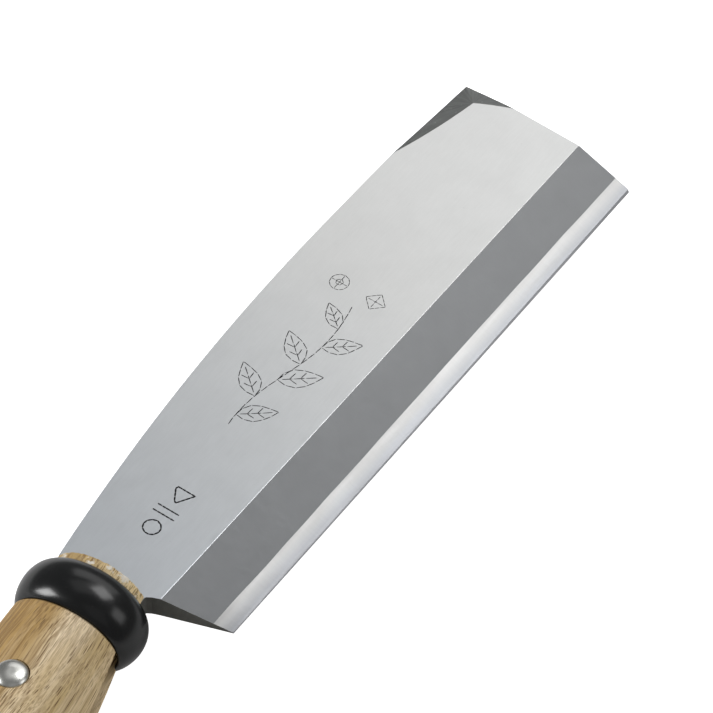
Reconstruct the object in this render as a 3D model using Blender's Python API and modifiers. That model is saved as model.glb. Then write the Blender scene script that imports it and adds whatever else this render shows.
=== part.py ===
"""Single-bevel laminated hand knife: forged blade with a hard steel edge, oak handle,
iron ring ferrule and two two-part rivets.

Lengths in this file are millimetres and are turned into metres by mm().
The knife lies on its flat back with the bevelled face up (+Z).
Blade frame: X runs along the cutting edge from heel to tip, Y from the edge to the spine,
and the heel corner of the edge is its zero. The world origin is the middle of the edge
steel's back face, DATUM_X and DATUM_Y from the heel corner.
Handle frame: the blade frame turned by HANDLE_TILT about +Z. A place in it is given as
(s, v): s backwards from the heel corner along the handle, v across it towards the spine.
"""
from math import cos, pi, radians, sin, sqrt, tan

import bmesh
import bpy
from mathutils import Matrix, Vector

# ---- driving dimensions: blade -------------------------------------------------------
EDGE_LENGTH = 150.0
BLADE_THICKNESS = 5.5
BEVEL_WIDTH = 14.4
EDGE_LAND = 0.2
SPINE_HEIGHT = 46.3
SPINE_CREST_X = 95.0
SPINE_RADIUS = 600.0
SPINE_TIP_RADIUS = 2700.0
TIP_POINTS = ((149.3, 0.1), (149.7, 0.7), (150.0, 14.4), (150.75, 32.1))
TIP_CORNER_X = 152.1
HEEL_KNEE = (-5.1, 14.4)
HEEL_SHOULDER = (-5.75, 16.0)
HEEL_FILLET = 0.6
FACET_SPINE_END = (124.2, 45.8)
FACET_VERTEX = (146.7, 40.4)
FACET_TIP_END = (150.75, 32.1)
FACET_CORNER_Z = 3.1

# ---- driving dimensions: hard steel plate welded to the back --------------------------
STEEL_THICKNESS = 1.72
STEEL_FLAT_WIDTH = 23.0
STEEL_WIDTH = 29.0
STEEL_HEEL_END = -4.5
WELD_GAP = 0.1

# ---- driving dimensions: tang and slot ------------------------------------------------
HANDLE_TILT = 7.5
TANG_BELLY = ((4.2, 17.85), (18.0, 19.2), (125.0, 23.8))
TANG_SPINE = ((3.6, 34.0), (125.0, 31.4))
SLOT_GAP = 0.15
SLOT_ROOF_GAP = 0.3
SLOT_END = 130.0

# ---- driving dimensions: handle -------------------------------------------------------
HANDLE_FRONT = 4.04
HANDLE_LENGTH = 154.0
HANDLE_END_RADIUS = 3.0
HANDLE_FRONT_RADIUS = 0.5
NOSE_STATIONS = (6.5, 10.0, 14.0)
SHOULDER_END = 18.7
NOSE_TILT_END = 45.0
# s along the handle, v of the middle, half width across, half thickness
HANDLE_SECTIONS = (
    (4.04, 27.9, 10.75, 8.6),
    (18.05, 27.85, 11.75, 8.82),
    (18.7, 27.83, 12.4, 9.47),
    (37.0, 26.55, 14.05, 10.4),
    (65.0, 25.9, 14.8, 11.2),
    (100.0, 25.2, 14.6, 11.1),
    (135.0, 24.0, 15.1, 11.6),
    (158.04, 23.1, 15.6, 12.1),
)

# ---- driving dimensions: ring ferrule -------------------------------------------------
RING_FRONT = 6.5
RING_WIDTH = 11.55
RING_TILT = 1.9
RING_MIDDLE_V = 27.7
RING_HALF_WIDTH = 14.3
RING_HALF_THICKNESS = 11.62
RING_LIP = 0.55
RING_FULLNESS = 0.96
FIT_GAP = 0.3

# ---- driving dimensions: rivets -------------------------------------------------------
RIVET_PLACES = {"front": (37.3, 28.75), "rear": (105.0, 27.6)}
HEAD_RADIUS = 3.5
HEAD_SEAT_Z = 12.2
HEAD_RIM = 0.35
HEAD_DOME = 1.45
TUBE_RADIUS = 2.1
TUBE_BORE = 1.55
TUBE_END_Z = 9.5
SHANK_RADIUS = 1.25
SHANK_END_Z = -1.5
BORE_END_Z = -3.0
POCKET_GAP = 0.2

DATUM_X = EDGE_LENGTH / 2.0
DATUM_Y = 14.0
MID_Z = BLADE_THICKNESS / 2.0
AROUND = 48
MERGE = 0.00001


def mm(value):
    """Millimetres to metres."""
    return value * 0.001


def clear_scene():
    """Remove every object the scene already holds."""
    for item in list(bpy.data.objects):
        bpy.data.objects.remove(item, do_unlink=True)


def make_collection(name):
    """A new collection under the scene's own."""
    collection = bpy.data.collections.new(name)
    bpy.context.scene.collection.children.link(collection)
    return collection


def make_material(name, colour, roughness, metallic):
    """A Principled material of one colour."""
    material = bpy.data.materials.new(name)
    material.use_nodes = True
    shader = material.node_tree.nodes["Principled BSDF"]
    shader.inputs["Base Color"].default_value = (*colour, 1.0)
    shader.inputs["Roughness"].default_value = roughness
    shader.inputs["Metallic"].default_value = metallic
    material.diffuse_color = (*colour, 1.0)
    return material


def place(item, collection, parent):
    """Put an object in a collection and under a frame."""
    for owner in list(item.users_collection):
        owner.objects.unlink(item)
    collection.objects.link(item)
    item.parent = parent
    return item


def make_frame(name, collection, parent, location, turn):
    """An empty that carries a coordinate frame."""
    frame = bpy.data.objects.new(name, None)
    frame.location = location
    frame.rotation_euler = (0.0, 0.0, turn)
    return place(frame, collection, parent)


def as_cutter(item):
    """Mark an object as a cutter, which is no part of the knife."""
    item.hide_render = True
    item.display_type = "WIRE"
    return item


def boolean(item, other, operation):
    """Join, cut or intersect an object with another."""
    modifier = item.modifiers.new(operation.lower(), "BOOLEAN")
    modifier.operation = operation
    modifier.solver = "EXACT"
    modifier.object = other
    return modifier


def shade(mesh, degrees=35.0):
    """Smooth shading with sharp edges where the surface turns."""
    mesh.shade_smooth()
    mesh.set_sharp_from_angle(angle=radians(degrees))


def finish_mesh(name, mesh, material):
    """Weld a mesh, turn its faces outwards and make an object of it."""
    work = bmesh.new()
    work.from_mesh(mesh)
    bmesh.ops.remove_doubles(work, verts=work.verts, dist=MERGE)
    bmesh.ops.recalc_face_normals(work, faces=work.faces)
    work.to_mesh(mesh)
    work.free()
    shade(mesh)
    if material is not None:
        mesh.materials.append(material)
    return bpy.data.objects.new(name, mesh)


def slab(name, outline, z_low, z_high, material, collection, parent):
    """A flat plate: a closed outline in the XY plane between two heights."""
    curve = bpy.data.curves.new(name + "_outline", "CURVE")
    curve.dimensions = "2D"
    curve.fill_mode = "BOTH"
    curve.extrude = mm((z_high - z_low) / 2.0)
    spline = curve.splines.new("POLY")
    spline.points.add(len(outline) - 1)
    for point, (x, y) in zip(spline.points, outline):
        point.co = (mm(x), mm(y), 0.0, 1.0)
    spline.use_cyclic_u = True
    sketch = bpy.data.objects.new(name + "_sketch", curve)
    bpy.context.scene.collection.objects.link(sketch)
    graph = bpy.context.evaluated_depsgraph_get()
    mesh = bpy.data.meshes.new_from_object(sketch.evaluated_get(graph))
    bpy.data.objects.remove(sketch, do_unlink=True)
    mesh.transform(Matrix.Translation((0.0, 0.0, mm((z_low + z_high) / 2.0))))
    return place(finish_mesh(name, mesh, material), collection, parent)


def prism_along_x(name, outline, x_low, x_high, material, collection, parent):
    """A bar along X whose section is a closed outline in the YZ plane."""
    bar = slab(name, outline, 0.0, x_high - x_low, material, collection, parent)
    yz_to_xyz = Matrix(((0, 0, 1, mm(x_low)), (1, 0, 0, 0), (0, 1, 0, 0), (0, 0, 0, 1)))
    bar.data.transform(yz_to_xyz)
    return bar


def half_space(name, corner, second, third, collection, parent):
    """A cutter that fills the side of a plane which its normal points to.

    The plane passes through three points, in the order that turns
    anticlockwise seen from the side to be cut away.
    """
    size = 400.0
    corner, second, third = Vector(corner), Vector(second), Vector(third)
    along = (second - corner).normalized()
    normal = along.cross(third - corner).normalized()
    across = normal.cross(along)
    turn = Matrix((along, across, normal)).transposed().to_4x4()
    middle = corner + normal * (size / 2.0)
    bpy.ops.mesh.primitive_cube_add(size=mm(size))
    block = bpy.context.active_object
    block.name = name
    block.data.transform(Matrix.Translation(middle * 0.001) @ turn)
    return as_cutter(place(block, collection, parent))


def cylinder(name, radius, z_low, z_high, place_xy, collection, parent):
    """A cutter for an upright round hole."""
    bpy.ops.mesh.primitive_cylinder_add(
        vertices=40, radius=mm(radius), depth=mm(z_high - z_low), end_fill_type="NGON"
    )
    item = bpy.context.active_object
    item.name = name
    place(item, collection, parent)
    item.location = (mm(place_xy[0]), mm(place_xy[1]), mm((z_low + z_high) / 2.0))
    return as_cutter(item)


def turned(name, profile, place_xy, material, collection, parent):
    """A turned piece: a profile of (radius, z), top to bottom, swept about Z."""
    mesh = bpy.data.meshes.new(name)
    points = [(mm(radius), 0.0, mm(z)) for radius, z in profile]
    edges = [(i, i + 1) for i in range(len(points) - 1)]
    mesh.from_pydata(points, edges, [])
    mesh.materials.append(material)
    item = bpy.data.objects.new(name, mesh)
    place(item, collection, parent)
    item.location = (mm(place_xy[0]), mm(place_xy[1]), 0.0)
    screw = item.modifiers.new("turn", "SCREW")
    screw.axis = "Z"
    screw.angle = 2.0 * pi
    screw.steps = 32
    screw.render_steps = 32
    screw.use_merge_vertices = True
    screw.merge_threshold = MERGE
    screw.use_smooth_shade = True
    return item


def loft(name, rings, material, collection, parent):
    """A closed solid through a row of rings with equal point counts."""
    count = len(rings[0])
    points = [point for ring in rings for point in ring]
    faces = [list(range(count))]
    for k in range(len(rings) - 1):
        low = k * count
        high = low + count
        for i in range(count):
            j = (i + 1) % count
            faces.append([low + i, low + j, high + j, high + i])
    last = (len(rings) - 1) * count
    faces.append([last + i for i in reversed(range(count))])
    mesh = bpy.data.meshes.new(name)
    mesh.from_pydata(points, [], faces)
    return place(finish_mesh(name, mesh, material), collection, parent)


def handle_section(s):
    """Middle, half width and half thickness of the handle at s, on a smooth curve."""
    rows = HANDLE_SECTIONS
    last = len(rows) - 1
    s = min(max(s, rows[0][0]), rows[last][0])
    k = 0
    while k < last - 1 and s > rows[k + 1][0]:
        k += 1
    before, start, end = rows[max(k - 1, 0)], rows[k], rows[k + 1]
    after = rows[min(k + 2, last)]
    step = end[0] - start[0]
    t = (s - start[0]) / step
    values = []
    for c in (1, 2, 3):
        slope_in = (end[c] - before[c]) / (end[0] - before[0]) * step
        slope_out = (after[c] - start[c]) / (after[0] - start[0]) * step
        blend = (2 * t**3 - 3 * t**2 + 1) * start[c] + (3 * t**2 - 2 * t**3) * end[c]
        blend += (t**3 - 2 * t**2 + t) * slope_in + (t**3 - t**2) * slope_out
        values.append(blend)
    return values


def oval(s, middle_v, half_width, half_thickness, tilt=0.0):
    """One oval ring of points across the handle; tilt in degrees sets its belly side back."""
    points = []
    for i in range(AROUND):
        angle = 2.0 * pi * i / AROUND
        v = middle_v + half_width * cos(angle)
        z = MID_Z + half_thickness * sin(angle)
        back = s + (middle_v - v) * tan(radians(tilt))
        points.append((mm(-back), mm(v), mm(z)))
    return points


def arc(centre, radius, start, end, steps):
    """Points on an arc between two angles in degrees."""
    points = []
    for i in range(steps + 1):
        angle = radians(start + (end - start) * i / steps)
        points.append((centre[0] + radius * cos(angle), centre[1] + radius * sin(angle)))
    return points


def to_blade(s, v):
    """Handle frame place (s, v) in the blade frame's XY plane."""
    tilt = radians(HANDLE_TILT)
    return (-s * cos(tilt) - v * sin(tilt), -s * sin(tilt) + v * cos(tilt))


def spine_y(x):
    """Height of the spine over the edge line."""
    radius = SPINE_RADIUS if x < SPINE_CREST_X else SPINE_TIP_RADIUS
    return SPINE_HEIGHT - (x - SPINE_CREST_X) ** 2 / (2.0 * radius)


def heel_fillet():
    """The rounded inner corner between the heel and the underside of the tang."""
    corner = Vector(to_blade(*TANG_BELLY[0]))
    along_heel = (corner - Vector(HEEL_SHOULDER)).normalized()
    along_tang = (Vector(to_blade(*TANG_BELLY[1])) - corner).normalized()
    half = along_heel.angle(along_tang) / 2.0
    reach = HEEL_FILLET * sin(half) / cos(half)
    first = corner - along_heel * reach
    centre = first + Vector((-along_heel.y, along_heel.x)) * HEEL_FILLET
    start = (first - centre).angle_signed(Vector((1.0, 0.0)))
    points = []
    for i in range(7):
        turn = start + 2.0 * half * i / 6
        points.append(tuple(centre + Vector((cos(turn), sin(turn))) * HEEL_FILLET))
    return points


def blade_outline():
    """The forged body seen from above: blade, shoulder and tang in one outline."""
    points = [(0.0, 0.0)]
    points += list(TIP_POINTS)
    shoulder = to_blade(TANG_SPINE[0][0], 38.0)
    steps = 28
    for i in range(steps + 1):
        x = TIP_CORNER_X + (shoulder[0] - TIP_CORNER_X) * i / steps
        points.append((x, spine_y(x)))
    end_s = TANG_SPINE[1][0]
    end_radius = (TANG_SPINE[1][1] - TANG_BELLY[2][1]) / 2.0
    end_v = (TANG_SPINE[1][1] + TANG_BELLY[2][1]) / 2.0
    points.append(to_blade(*TANG_SPINE[0]))
    for s, v in arc((end_s, end_v), end_radius, 90.0, -90.0, 10):
        points.append(to_blade(s, v))
    points.append(to_blade(*TANG_BELLY[1]))
    points += list(reversed(heel_fillet()))
    points += [HEEL_SHOULDER, HEEL_KNEE]
    return points


def edge_steel_outline(gap):
    """Section of the welded plate across the blade, with its scarfed upper end."""
    top = STEEL_THICKNESS + gap
    reach = 5.0
    return (
        (-reach, -reach),
        (STEEL_WIDTH + gap + reach, -reach),
        (STEEL_WIDTH + gap, 0.0),
        (STEEL_FLAT_WIDTH + gap, top),
        (-reach, top),
    )


def add_blade_shape(name, material, collection, cutters, frame, edge_steel):
    """One of the two blade pieces: the welded edge steel or the forged body."""
    item = slab(name, blade_outline(), 0.0, BLADE_THICKNESS, material, collection, frame)
    gap = 0.0 if edge_steel else WELD_GAP
    span = (STEEL_HEEL_END - gap, EDGE_LENGTH + 30.0)
    outline = edge_steel_outline(gap)
    plate = prism_along_x("plate_" + name, outline, *span, None, cutters, frame)
    boolean(item, as_cutter(plate), "INTERSECT" if edge_steel else "DIFFERENCE")
    return item


def add_grinds(items, cutters, frame):
    """Grind the long bevel and the two facets of the tip corner."""
    top = BLADE_THICKNESS
    bevel = half_space(
        "bevel_grind",
        (0.0, 0.0, EDGE_LAND),
        (EDGE_LENGTH, 0.0, EDGE_LAND),
        (0.0, BEVEL_WIDTH, top),
        cutters,
        frame,
    )
    corner = (TIP_CORNER_X, spine_y(TIP_CORNER_X), FACET_CORNER_Z)
    spine_facet = half_space(
        "spine_facet",
        (*FACET_VERTEX, top),
        corner,
        (*FACET_SPINE_END, top),
        cutters,
        frame,
    )
    tip_facet = half_space(
        "tip_facet", (*FACET_VERTEX, top), (*FACET_TIP_END, top), corner, cutters, frame
    )
    for item in items:
        boolean(item, bevel, "DIFFERENCE")
    for facet in (spine_facet, tip_facet):
        boolean(items[0], facet, "DIFFERENCE")


def add_handle(material, collection, cutters, frame):
    """The one-piece oak handle with its open slot."""
    back = HANDLE_FRONT + HANDLE_LENGTH
    rings = []
    for i in range(4):
        angle = pi / 2.0 * i / 3
        inset = HANDLE_FRONT_RADIUS * (1.0 - sin(angle))
        s = HANDLE_FRONT + HANDLE_FRONT_RADIUS * (1.0 - cos(angle))
        middle, width, thickness = handle_section(s)
        rings.append(oval(s, middle, width - inset, thickness - inset, RING_TILT))
    for s in (*NOSE_STATIONS, RING_FRONT + RING_WIDTH):
        rings.append(oval(s, *handle_section(s), RING_TILT))
    steps = 15
    start = SHOULDER_END
    stop = back - HANDLE_END_RADIUS
    for i in range(steps):
        s = start + (stop - start) * (i / steps) ** 1.2
        tilt = RING_TILT * max(NOSE_TILT_END - s, 0.0) / (NOSE_TILT_END - start)
        rings.append(oval(s, *handle_section(s), tilt))
    for i in range(6):
        angle = pi / 2.0 * i / 5
        inset = HANDLE_END_RADIUS * (1.0 - cos(angle))
        s = stop + HANDLE_END_RADIUS * sin(angle)
        middle, width, thickness = handle_section(s)
        rings.append(oval(s, middle, width - inset, thickness - inset))
    handle = loft("handle", rings, material, collection, frame)
    boolean(handle, add_slot(cutters, frame), "DIFFERENCE")
    return handle


def add_slot(cutters, frame):
    """Cutter for the slot that the tang lies in, open on the belly side."""
    roof_front = TANG_SPINE[0][1] + SLOT_ROOF_GAP
    roof_back = TANG_SPINE[1][1] + SLOT_ROOF_GAP
    outline = [
        (-SLOT_END, -5.0),
        (5.0, -5.0),
        (5.0, roof_front),
        (-SLOT_END + 2.0, roof_back),
        (-SLOT_END, roof_back - 2.0),
    ]
    low = -SLOT_GAP
    high = BLADE_THICKNESS + SLOT_GAP
    return as_cutter(slab("tang_slot", outline, low, high, None, cutters, frame))


def add_ring(material, collection, cutters, frame):
    """The fat rounded ring, driven on over the tapered nose of the handle."""
    end_rise = sqrt(1.0 - RING_FULLNESS ** 2)
    steps = 14
    rings = []
    for i in range(steps + 1):
        t = -cos(pi * i / steps)
        s = RING_FRONT + RING_WIDTH * (t + 1.0) / 2.0
        rise = (sqrt(1.0 - (RING_FULLNESS * t) ** 2) - end_rise) / (1.0 - end_rise)
        middle, width, thickness = handle_section(s)
        width += RING_LIP
        thickness += RING_LIP
        middle += (RING_MIDDLE_V - middle) * rise
        width += (RING_HALF_WIDTH - width) * rise
        thickness += (RING_HALF_THICKNESS - thickness) * rise
        rings.append(oval(s, middle, width, thickness, RING_TILT))
    ring = loft("ring_ferrule", rings, material, collection, frame)
    bore_rings = []
    back = RING_FRONT + RING_WIDTH
    for s in (RING_FRONT - 2.0, *NOSE_STATIONS, back, back + 2.0):
        middle, width, thickness = handle_section(min(s, back))
        bore_rings.append(oval(s, middle, width + FIT_GAP, thickness + FIT_GAP, RING_TILT))
    bore = loft("ring_bore", bore_rings, None, cutters, frame)
    boolean(ring, as_cutter(bore), "DIFFERENCE")
    return ring


def dome(seat_z, side):
    """Rim and dome of a rivet head from its edge to its crown; side is +1 up, -1 down."""
    rim_z = seat_z + side * HEAD_RIM
    points = [(HEAD_RADIUS, seat_z)]
    steps = 7
    for i in range(steps + 1):
        angle = pi / 2.0 * i / steps
        points.append((HEAD_RADIUS * cos(angle), rim_z + side * HEAD_DOME * sin(angle)))
    points[-1] = (0.0, points[-1][1])
    return points


def add_rivet(name, place_sv, material, collection, frame):
    """One two-part rivet: a domed head with a shank, and a domed head with a tube."""
    place_xy = (-place_sv[0], place_sv[1])
    male = list(reversed(dome(HEAD_SEAT_Z, 1.0)))
    male += [
        (SHANK_RADIUS, HEAD_SEAT_Z),
        (SHANK_RADIUS, SHANK_END_Z + 0.4),
        (SHANK_RADIUS - 0.4, SHANK_END_Z),
        (0.0, SHANK_END_Z),
    ]
    back_seat = BLADE_THICKNESS - HEAD_SEAT_Z
    female = [
        (0.0, BORE_END_Z),
        (TUBE_BORE, BORE_END_Z),
        (TUBE_BORE, TUBE_END_Z),
        (TUBE_RADIUS, TUBE_END_Z),
        (TUBE_RADIUS, back_seat),
    ]
    female += dome(back_seat, -1.0)
    turned(name + "_rivet_head", male, place_xy, material, collection, frame)
    turned(name + "_rivet_socket", female, place_xy, material, collection, frame)


def drill_for_rivet(name, place_sv, body, handle, cutters, frame):
    """Drill tang and handle for a rivet, and sink a shallow pocket for each head."""
    place_xy = (-place_sv[0], place_sv[1])
    radius = TUBE_RADIUS + FIT_GAP
    hole = cylinder(name + "_hole", radius, -40.0, 40.0, place_xy, cutters, frame)
    for piece in (body, handle):
        boolean(piece, hole, "DIFFERENCE")
    pocket_radius = HEAD_RADIUS + POCKET_GAP
    floor = HEAD_SEAT_Z - POCKET_GAP
    spans = {"top": (floor, 40.0), "back": (-40.0, BLADE_THICKNESS - floor)}
    for side, (low, high) in spans.items():
        label = name + "_pocket_" + side
        pocket = cylinder(label, pocket_radius, low, high, place_xy, cutters, frame)
        boolean(handle, pocket, "DIFFERENCE")


def build():
    """Model the whole knife."""
    clear_scene()
    parts = make_collection("skiving_knife")
    cutters = make_collection("cutters")
    datum = (mm(-DATUM_X), mm(-DATUM_Y), 0.0)
    blade_frame = make_frame("blade_frame", parts, None, datum, 0.0)
    handle_frame = make_frame(
        "handle_frame", parts, blade_frame, (0.0, 0.0, 0.0), radians(HANDLE_TILT)
    )
    soft_iron = make_material("soft_iron", (0.55, 0.57, 0.59), 0.38, 1.0)
    hard_steel = make_material("hard_steel", (0.80, 0.82, 0.85), 0.25, 1.0)
    oak = make_material("oak", (0.55, 0.41, 0.24), 0.60, 0.0)
    black_iron = make_material("black_iron", (0.012, 0.012, 0.013), 0.30, 0.6)
    nickel = make_material("nickel", (0.78, 0.78, 0.76), 0.15, 1.0)

    body = add_blade_shape("blade_body", soft_iron, parts, cutters, blade_frame, False)
    steel = add_blade_shape("edge_steel", hard_steel, parts, cutters, blade_frame, True)
    add_grinds([body, steel], cutters, blade_frame)
    handle = add_handle(oak, parts, cutters, handle_frame)
    add_ring(black_iron, parts, cutters, handle_frame)
    for name, place_sv in RIVET_PLACES.items():
        drill_for_rivet(name, place_sv, body, handle, cutters, handle_frame)
        add_rivet(name, place_sv, nickel, parts, handle_frame)
    bpy.context.view_layer.update()


build()
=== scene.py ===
"""Looks of the single-bevel laminated hand knife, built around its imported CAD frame.

Lengths are millimetres in the two frames that the CAD part uses, turned into metres by
mm(). Blade frame: X along the cutting edge from the heel corner, Y from the edge to the
spine, Z up from the flat back. Handle frame: the blade frame turned by HANDLE_TILT about
Z, with places given as (s, v): s backwards along the handle, v across it to the spine.
"""
import random
from math import asin, cos, pi, radians, sin, sqrt, tan

import bmesh
import bpy
from mathutils import Matrix, Vector, noise


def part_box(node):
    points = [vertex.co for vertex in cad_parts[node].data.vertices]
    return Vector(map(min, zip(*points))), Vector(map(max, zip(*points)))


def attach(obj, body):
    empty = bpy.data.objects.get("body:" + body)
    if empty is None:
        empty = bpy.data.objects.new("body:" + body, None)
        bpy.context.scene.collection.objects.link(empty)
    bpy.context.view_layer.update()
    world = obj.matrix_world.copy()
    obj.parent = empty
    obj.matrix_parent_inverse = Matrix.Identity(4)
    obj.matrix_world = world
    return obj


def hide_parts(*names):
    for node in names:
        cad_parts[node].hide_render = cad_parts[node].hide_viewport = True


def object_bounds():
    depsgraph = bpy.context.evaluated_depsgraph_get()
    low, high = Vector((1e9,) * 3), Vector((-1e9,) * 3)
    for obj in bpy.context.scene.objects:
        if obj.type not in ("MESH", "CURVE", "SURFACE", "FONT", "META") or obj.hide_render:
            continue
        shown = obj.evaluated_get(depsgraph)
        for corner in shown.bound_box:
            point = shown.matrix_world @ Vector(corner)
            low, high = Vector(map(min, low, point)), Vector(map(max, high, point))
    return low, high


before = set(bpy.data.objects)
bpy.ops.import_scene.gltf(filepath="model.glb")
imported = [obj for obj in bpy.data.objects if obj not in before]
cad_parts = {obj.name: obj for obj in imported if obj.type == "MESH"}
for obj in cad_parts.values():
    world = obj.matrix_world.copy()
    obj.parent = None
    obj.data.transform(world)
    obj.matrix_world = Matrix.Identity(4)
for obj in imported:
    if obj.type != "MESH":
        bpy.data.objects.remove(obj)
cad_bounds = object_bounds()

# ---- blade -----------------------------------------------------------------------------
THICKNESS = 5.5
BEVEL_WIDTH = 14.4
EDGE_LAND = 0.2
SPINE_HEIGHT = 46.3
SPINE_CREST_X = 95.0
SPINE_RADIUS = 600.0
SPINE_TIP_RADIUS = 2700.0
TIP_POINTS = ((149.3, 0.1), (149.7, 0.7), (150.0, 14.4), (150.75, 32.1))
TIP_CORNER_X = 152.1
HEEL_KNEE = (-5.1, 14.4)
HEEL_SHOULDER = (-5.75, 16.0)
HEEL_FILLET = 0.6
FACET_SPINE_END = (124.2, 45.8)
FACET_VERTEX = (146.7, 40.4)
FACET_TIP_END = (150.75, 32.1)
FACET_CORNER_Z = 3.1
STEEL_WIDTH = 29.0
STEEL_FLAT_WIDTH = 23.0
STEEL_HEEL_END = -4.5
STEEL_BAND = 4.1
EDGE_LENGTH = 150.0
MICRO_BEVEL = 0.17
MICRO_HEEL_Z = 0.15
MICRO_TIP_Z = 0.02
RIDGE_ROUND = 0.035
EDGE_ROUND = 0.1
EDGE_LEAST_TURN = 17.0
# edges that reach below this height, such as the weld line, stay sharp
SOFT_LOWEST_Z = 2.0
# the blade's sides are forge scale where x and y are both below these
SCALE_X = 20.0
SCALE_Y = 30.0
TANG_BELLY = ((4.2, 17.85), (18.0, 19.2), (125.0, 23.8))
TANG_SPINE = ((3.6, 34.0), (125.0, 31.4))
SHOULDER_V = 38.0

# ---- ornament --------------------------------------------------------------------------
SPRIG_START = 39.0
SPRIG_LENGTH = 42.0
SPRIG_Y = 28.3
SPRIG_SWAY = 2.0
# length and width of each leaf along the stem
SPRIG_LEAVES = ((9.0, 4.4), (9.6, 4.8), (9.8, 5.0), (9.6, 4.8), (8.8, 4.4), (7.6, 3.8))
STAMP_X = 85.0
# of one chisel cut: length, gap to the next, jitter, half width and depth
SPRIG_CUT = (2.2, 0.02, 0.04, 0.21, 0.16)
STAMP_CUT = (1.2, -0.05, 0.02, 0.17, 0.13)
HEEL_CUT = (1.1, -0.25, 0.0, 0.38, 0.3)
ORNAMENT_X = (5.0, 92.0)
ORNAMENT_Y = (17.0, 39.0)
RANDOM = random.Random(7)

# ---- handle ----------------------------------------------------------------------------
HANDLE_TILT = 7.5
HANDLE_FRONT = 4.04
HANDLE_LENGTH = 154.0
HANDLE_END_RADIUS = 3.0
HANDLE_SECTIONS = (
    (4.04, 27.9, 10.75, 8.6),
    (18.05, 27.85, 11.75, 8.82),
    (18.7, 27.83, 12.4, 9.47),
    (37.0, 26.55, 14.05, 10.4),
    (65.0, 25.9, 14.8, 11.2),
    (100.0, 25.2, 14.6, 11.1),
    (135.0, 24.0, 15.1, 11.6),
    (158.04, 23.1, 15.6, 12.1),
)
SLOT_GAP = 0.15
SLOT_ROOF_GAP = 0.3
SLOT_END = 130.0
SLOT_LIP = 0.5
COLLAR_END = 7.4
SHOULDER_END = 18.7
NOSE_TILT_END = 45.0
PALE_BAND_V = 24.3
OAK_PALE = (0.92, 0.765, 0.54)
OAK_BROWN = (0.40, 0.255, 0.09)
OAK_OLIVE = (0.58, 0.425, 0.20)
OAK_STREAK = (0.23, 0.135, 0.052)
OAK_PORE = (0.15, 0.088, 0.036)
OAK_COLLAR = (0.84, 0.66, 0.36)
OAK_COLLAR_SPINE = (0.46, 0.33, 0.145)
OAK_TORN = (0.80, 0.77, 0.70)

# ---- ring and rivets -------------------------------------------------------------------
RING_FRONT = 6.5
RING_WIDTH = 11.55
RING_TILT = 1.9
RING_MIDDLE_V = 27.7
RING_HALF_WIDTH = 14.3
RING_HALF_THICKNESS = 11.62
RING_LIP = 0.34
RING_FULLNESS = 0.96
RING_GAP = 0.06
RIVET_PLACES = {"front": (37.3, 28.75), "rear": (105.0, 27.6)}
HEAD_RADIUS = 3.5
HEAD_SEAT_Z = 12.2
HEAD_RIM = 0.35
HEAD_DOME = 1.45
HEAD_DIMPLE = 0.04
TUBE_RADIUS = 2.1
POCKET_GAP = 0.12
POCKET_DEPTH = 0.2

# ---- floor -----------------------------------------------------------------------------
# metres
FLOOR_HALF_SIZE = 6.0
FLOOR_GAP = 0.0002
FLOOR_STEP = 0.0003

# ---- camera ----------------------------------------------------------------------------
CAMERA_TARGET = (-0.00101, 0.00753, 0.0)
CAMERA_PLACE = (-0.42354, -0.25645, 0.59320)
CAMERA_ROLL = 3.657
CAMERA_LENS = 183.81

# ---- lights ----------------------------------------------------------------------------
SOFTBOX_DISTANCE = 1.0
# azimuth and elevation in degrees, (width, height) in metres, radiance
SOFTBOXES = {
    "key": (-15.0, 62.0, (0.42, 0.42), 5.0),
    "rim": (130.0, 25.0, (0.36, 0.4), 15.0),
    "side": (-75.0, 40.0, (0.42, 0.42), 1.8),
    "panel": (15.0, 40.0, (1.0, 0.42), 1.25),
    "top": (40.0, 72.0, (0.7, 0.5), 0.5),
    "back": (215.0, 50.0, (0.6, 0.6), 0.15),
}


def mm(value):
    """Millimetres to metres, for a number or a vector."""
    return value * 0.001


def to_mm(value):
    """Metres to millimetres, for a number or a vector."""
    return value * 1000.0


# ---- frames ----------------------------------------------------------------------------
MID_Z = THICKNESS / 2.0
steel_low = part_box("edge_steel")[0]
HEEL_CORNER = Vector((steel_low.x - mm(STEEL_HEEL_END), steel_low.y, 0.0))
BLADE_FRAME = Matrix.Translation(HEEL_CORNER)
HANDLE_FRAME = BLADE_FRAME @ Matrix.Rotation(radians(HANDLE_TILT), 4, "Z")


# ---- mesh helpers ----------------------------------------------------------------------
def new_object(name, mesh):
    """An object in the scene from a mesh."""
    item = bpy.data.objects.new(name, mesh)
    bpy.context.scene.collection.objects.link(item)
    return item


def object_from_bmesh(name, work):
    """Close a bmesh into an object with its faces outwards."""
    bmesh.ops.recalc_face_normals(work, faces=work.faces)
    mesh = bpy.data.meshes.new(name)
    work.to_mesh(mesh)
    work.free()
    return new_object(name, mesh)


def settle(item):
    """Apply an object's modifiers to its mesh."""
    graph = bpy.context.evaluated_depsgraph_get()
    mesh = bpy.data.meshes.new_from_object(item.evaluated_get(graph))
    item.modifiers.clear()
    item.data = mesh
    return item


def boolean(item, cutter, operation="DIFFERENCE", self_overlap=False):
    """Cut, keep or join with another object, apply it and drop the other object."""
    modifier = item.modifiers.new("boolean", "BOOLEAN")
    modifier.operation = operation
    modifier.solver = "EXACT"
    modifier.use_self = self_overlap
    modifier.object = cutter
    settle(item)
    bpy.data.objects.remove(cutter, do_unlink=True)
    return item


def copy_object(item, name):
    """A second object with its own copy of the mesh."""
    return new_object(name, item.data.copy())


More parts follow.
